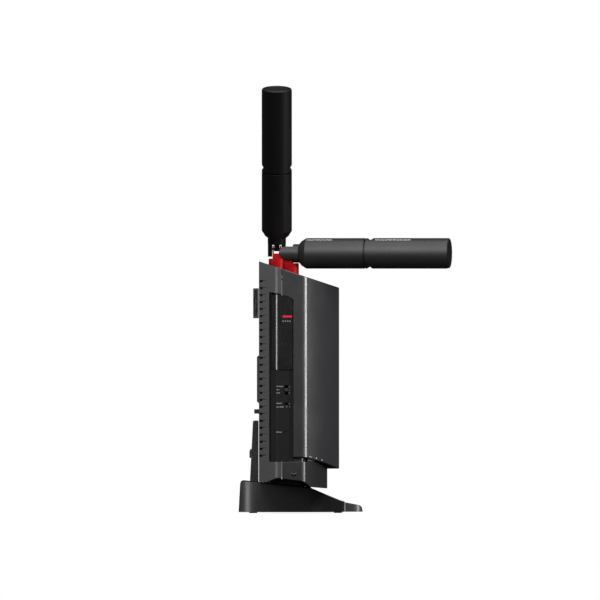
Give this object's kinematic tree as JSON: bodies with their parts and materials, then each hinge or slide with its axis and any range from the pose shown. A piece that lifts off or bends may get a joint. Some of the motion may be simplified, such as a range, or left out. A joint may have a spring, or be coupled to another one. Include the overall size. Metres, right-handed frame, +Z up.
{
  "type": "wireless router",
  "caption": "Upright desktop wireless router in a low stand, with folding and swivelling round antennas on top, a side control panel and network sockets at the rear.",
  "frame": {"origin": "middle of the whole object's bounding box at the height of the surface that it stands on", "axes": "+Z up; +X out of the router's large front cover; -Y towards the side with the control panel; the rear with the sockets faces -X"},
  "size_m": [0.1838, 0.307, 0.3685],
  "materials": {
    "case_plastic": "finely textured near-black moulding",
    "cover_plastic": "smooth satin dark grey moulding",
    "dark_plastic": "matte black moulding",
    "antenna_plastic": "satin black moulding",
    "red_plastic": "satin red moulding",
    "red_lens": "clear red light window, lit",
    "white_lens": "clear light pipe, lit white",
    "plated_steel": "bright plated steel",
    "aluminium": "plain cast aluminium",
    "circuit_board": "green solder mask",
    "rubber": "matte black rubber",
    "card": "off-white card"
  },
  "bodies": {
    "stand": {"stand_base": "case_plastic", "stand_lip": "dark_plastic", "stand_upright": "case_plastic", "rear_foot": "rubber", "front_foot": "rubber"},
    "router": {"rear_case": "case_plastic", "front_cover": "cover_plastic", "lower_chassis": "dark_plastic", "top_panel": "case_plastic", "top_grille": "dark_plastic", "bottom_cover": "dark_plastic", "control_panel": "dark_plastic", "port_panel": "case_plastic", "internet_port": "plated_steel", "lan_ports": "plated_steel", "usb_port": "plated_steel", "power_jack": "dark_plastic", "card_holder": "dark_plastic", "light_pipes": "white_lens", "main_board": "circuit_board", "shield_can": "plated_steel", "heat_sink": "aluminium", "case_screw_panel_side": "plated_steel", "case_screw_far_side": "plated_steel"},
    "latch": {"stand_latch": "dark_plastic"},
    "pairing_button": {"pairing_button": "dark_plastic", "status_light": "red_lens"},
    "mode_switch": {"mode_switch": "dark_plastic"},
    "auto_switch": {"auto_switch": "dark_plastic"},
    "reset_button": {"reset_button": "dark_plastic"},
    "power_button": {"power_button": "dark_plastic"},
    "setup_card": {"setup_card": "card"},
    "antenna_1_base": {"antenna_1_swivel_base": "red_plastic"},
    "antenna_1_arm": {"antenna_1_hinge_pin": "plated_steel", "antenna_1_lower_section": "antenna_plastic", "antenna_1_lower_element": "circuit_board"},
    "antenna_1_tip": {"antenna_1_upper_section": "antenna_plastic", "antenna_1_upper_element": "circuit_board", "antenna_1_tip_cap": "antenna_plastic"},
    "antenna_2_base": {"antenna_2_swivel_base": "red_plastic"},
    "antenna_2_arm": {"antenna_2_hinge_pin": "plated_steel", "antenna_2_lower_section": "antenna_plastic", "antenna_2_lower_element": "circuit_board"},
    "antenna_2_tip": {"antenna_2_upper_section": "antenna_plastic", "antenna_2_upper_element": "circuit_board", "antenna_2_tip_cap": "antenna_plastic"},
    "antenna_3_base": {"antenna_3_swivel_base": "red_plastic"},
    "antenna_3_arm": {"antenna_3_hinge_pin": "plated_steel", "antenna_3_lower_section": "antenna_plastic", "antenna_3_lower_element": "circuit_board"},
    "antenna_3_tip": {"antenna_3_upper_section": "antenna_plastic", "antenna_3_upper_element": "circuit_board", "antenna_3_tip_cap": "antenna_plastic"},
    "antenna_4_base": {"antenna_4_swivel_base": "red_plastic"},
    "antenna_4_arm": {"antenna_4_hinge_pin": "plated_steel", "antenna_4_lower_section": "antenna_plastic", "antenna_4_lower_element": "circuit_board"},
    "antenna_4_tip": {"antenna_4_upper_section": "antenna_plastic", "antenna_4_upper_element": "circuit_board", "antenna_4_tip_cap": "antenna_plastic"}
  },
  "joints": [
    {"name": "lift_off", "type": "slide", "parent": "stand", "child": "router", "axis": [0, 0, 1], "range_m": [0, 0.06]},
    {"name": "latch_press", "type": "slide", "parent": "stand", "child": "latch", "axis": [1, 0, 0], "range_m": [0, 0.0015], "stiffness_N_per_m": 400},
    {"name": "pairing_press", "type": "slide", "parent": "router", "child": "pairing_button", "axis": [0, 1, 0], "range_m": [0, 0.0008], "stiffness_N_per_m": 900},
    {"name": "mode_slide", "type": "slide", "parent": "router", "child": "mode_switch", "axis": [0, 0, 1], "range_m": [-0.0027, 0.0027]},
    {"name": "auto_slide", "type": "slide", "parent": "router", "child": "auto_switch", "axis": [0, 0, 1], "range_m": [0, 0.0024]},
    {"name": "reset_press", "type": "slide", "parent": "router", "child": "reset_button", "axis": [0, 1, 0], "range_m": [0, 0.0008], "stiffness_N_per_m": 500},
    {"name": "power_press", "type": "slide", "parent": "router", "child": "power_button", "axis": [1, 0, 0], "range_m": [0, 0.0015], "stiffness_N_per_m": 600},
    {"name": "card_slide", "type": "slide", "parent": "router", "child": "setup_card", "axis": [0, -1, 0], "range_m": [0, 0.05]},
    {"name": "antenna_1_swivel", "type": "hinge", "parent": "router", "child": "antenna_1_base", "pos_m": [-0.04691, -0.118, 0.22402], "axis": [0, 0, -1], "range_deg": [-54.5, 80.5]},
    {"name": "antenna_1_fold", "type": "hinge", "parent": "antenna_1_base", "child": "antenna_1_arm", "pos_m": [-0.04927, -0.1176, 0.22402], "axis": [0.165, 0.9863, 0], "range_deg": [-90, 0]},
    {"name": "antenna_1_turn", "type": "hinge", "parent": "antenna_1_arm", "child": "antenna_1_tip", "pos_m": [-0.04927, -0.1176, 0.22402], "axis": [0.9863, -0.165, 0], "range_deg": [-90, 90]},
    {"name": "antenna_2_swivel", "type": "hinge", "parent": "router", "child": "antenna_2_base", "pos_m": [-0.05891, -0.046, 0.22797], "axis": [0, 0, -1], "range_deg": [-90, 90]},
    {"name": "antenna_2_fold", "type": "hinge", "parent": "antenna_2_base", "child": "antenna_2_arm", "pos_m": [-0.05891, -0.0436, 0.22797], "axis": [1, 0, 0], "range_deg": [-12, 58]},
    {"name": "antenna_2_turn", "type": "hinge", "parent": "antenna_2_arm", "child": "antenna_2_tip", "pos_m": [-0.05891, -0.0436, 0.22797], "axis": [0, -0.2079, 0.9781], "range_deg": [-90, 90]},
    {"name": "antenna_3_swivel", "type": "hinge", "parent": "router", "child": "antenna_3_base", "pos_m": [-0.05891, 0.046, 0.22797], "axis": [0, 0, 1], "range_deg": [-90, 90]},
    {"name": "antenna_3_fold", "type": "hinge", "parent": "antenna_3_base", "child": "antenna_3_arm", "pos_m": [-0.05891, 0.0436, 0.22797], "axis": [-1, 0, 0], "range_deg": [-12, 58]},
    {"name": "antenna_3_turn", "type": "hinge", "parent": "antenna_3_arm", "child": "antenna_3_tip", "pos_m": [-0.05891, 0.0436, 0.22797], "axis": [0, 0.2079, 0.9781], "range_deg": [-90, 90]},
    {"name": "antenna_4_swivel", "type": "hinge", "parent": "router", "child": "antenna_4_base", "pos_m": [-0.04691, 0.118, 0.22402], "axis": [0, 0, 1], "range_deg": [-54.5, 80.5]},
    {"name": "antenna_4_fold", "type": "hinge", "parent": "antenna_4_base", "child": "antenna_4_arm", "pos_m": [-0.04927, 0.1176, 0.22402], "axis": [-0.165, 0.9863, 0], "range_deg": [-90, 0]},
    {"name": "antenna_4_turn", "type": "hinge", "parent": "antenna_4_arm", "child": "antenna_4_tip", "pos_m": [-0.04927, 0.1176, 0.22402], "axis": [0.9863, 0.165, 0], "range_deg": [-90, 90]}
  ]
}
